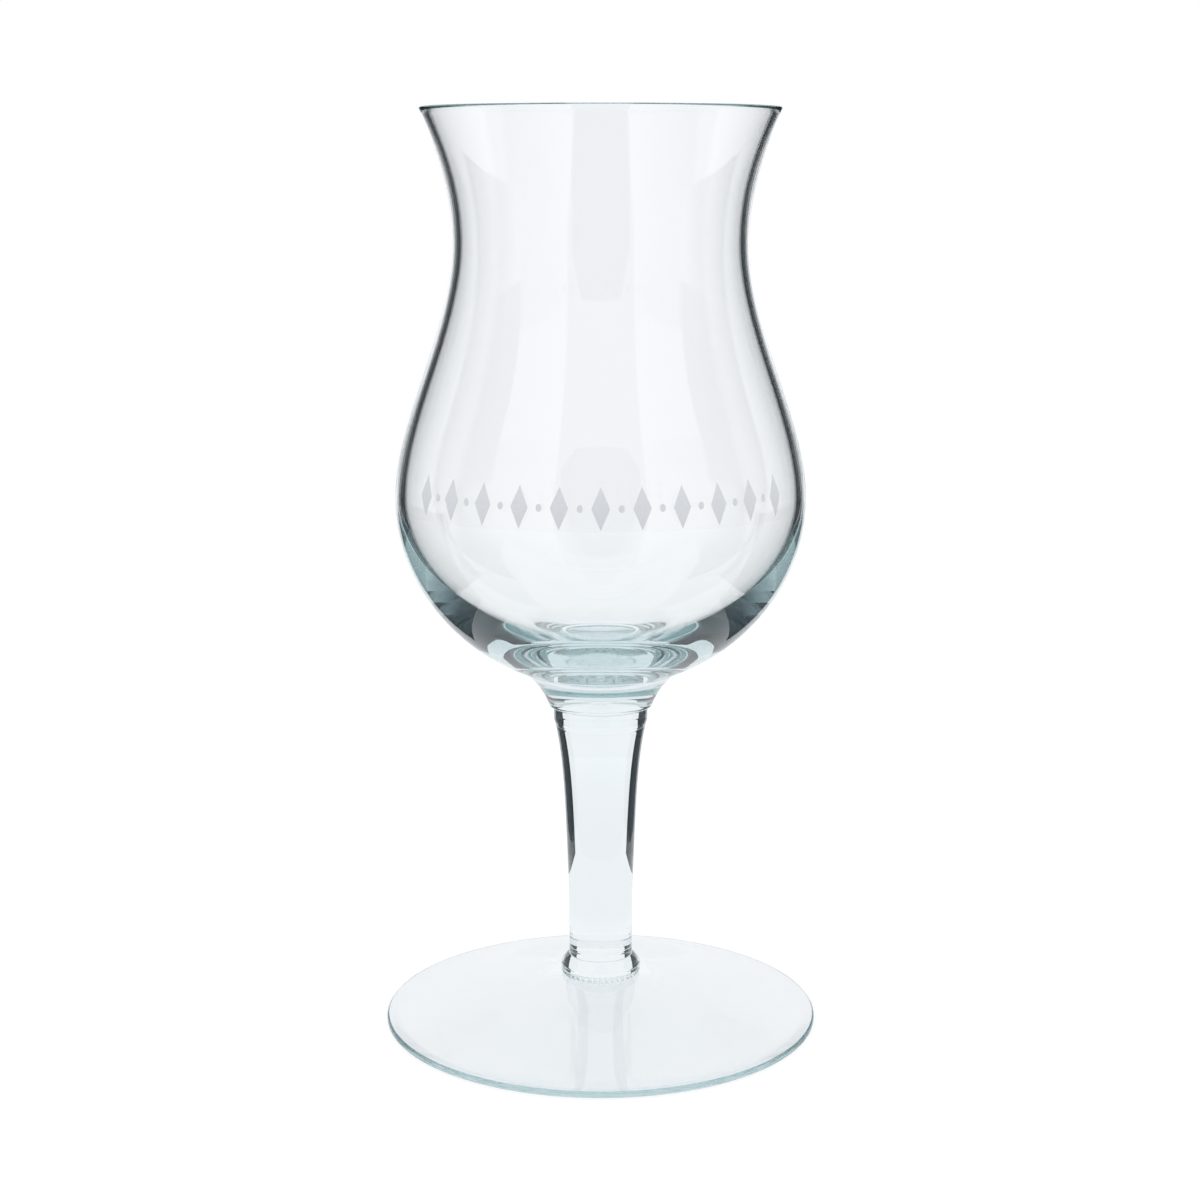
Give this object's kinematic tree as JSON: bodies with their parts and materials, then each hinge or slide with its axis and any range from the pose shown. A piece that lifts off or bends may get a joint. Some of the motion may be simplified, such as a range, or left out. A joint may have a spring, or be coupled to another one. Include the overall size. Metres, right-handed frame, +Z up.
{
  "type": "stemmed schnapps glass",
  "caption": "Clear schnapps glass with a waisted tulip bowl, thick base and flared lip on a solid tapered stem, a small button of glass and a dished round foot.",
  "frame": {"origin": "centre of the ring the foot stands on, at table level", "axes": "+Z up along the glass's own axis, towards the lip; X and Y are equal because the glass is round"},
  "size_m": [0.067, 0.067, 0.1396],
  "materials": {
    "clear_glass": "fire-polished clear soda-lime glass with a faint blue-green tint where it is thick"
  },
  "bodies": {
    "root": {"bowl": "clear_glass", "stem": "clear_glass", "stem_button": "clear_glass", "foot": "clear_glass"}
  },
  "joints": []
}
